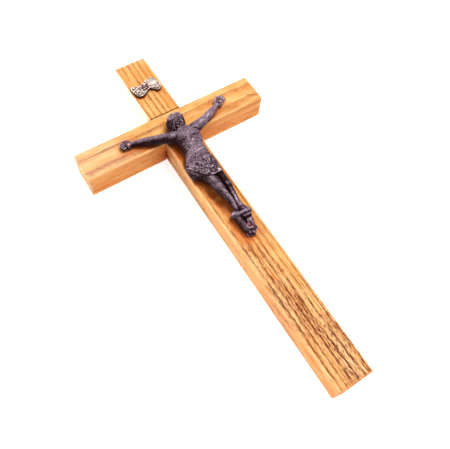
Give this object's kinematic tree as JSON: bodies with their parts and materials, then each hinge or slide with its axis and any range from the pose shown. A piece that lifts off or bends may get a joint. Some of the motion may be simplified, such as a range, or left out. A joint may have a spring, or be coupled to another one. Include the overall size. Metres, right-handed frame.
{
  "type": "altar cross",
  "caption": "Wooden cross of two half-lapped beams with a cast metal figure on three nails, a curled title scroll and a recessed ring hanger.",
  "frame": {"origin": "under the middle of the bounding box, on the flat back of the beams", "axes": "+X along the crossbeam to the viewer's right, +Y along the upright towards its top end, +Z out of the front face"},
  "size_m": [0.1132, 0.221, 0.0271],
  "materials": {
    "oak_wood": "golden-brown clear varnish over open-grained wood, dark pores",
    "dark_cast_metal": "dark purple-brown patina, rubbed brighter on the high places",
    "silvered_metal": "worn silvering with dark hollows",
    "copper_nail": "tarnished copper, smooth domed heads",
    "brass": "plain aged brass",
    "steel_screw": "bright zinc-plated steel"
  },
  "bodies": {
    "cross": {"upright_beam": "oak_wood", "cross_beam": "oak_wood", "corpus": "dark_cast_metal", "left_hand_nail": "copper_nail", "right_hand_nail": "copper_nail", "foot_nail": "copper_nail", "title_scroll": "silvered_metal", "title_pin_left": "copper_nail", "title_pin_right": "copper_nail", "hanger_plate": "brass", "hanger_screw_lower": "steel_screw", "hanger_screw_upper": "steel_screw"},
    "hanger": {"hanger_ring": "brass"}
  },
  "joints": [
    {"name": "hanger_swing", "type": "hinge", "parent": "cross", "child": "hanger", "pos_m": [0.0008, 0.0873, 0.0021], "axis": [-1, 0, 0], "range_deg": [-14, 150]}
  ]
}
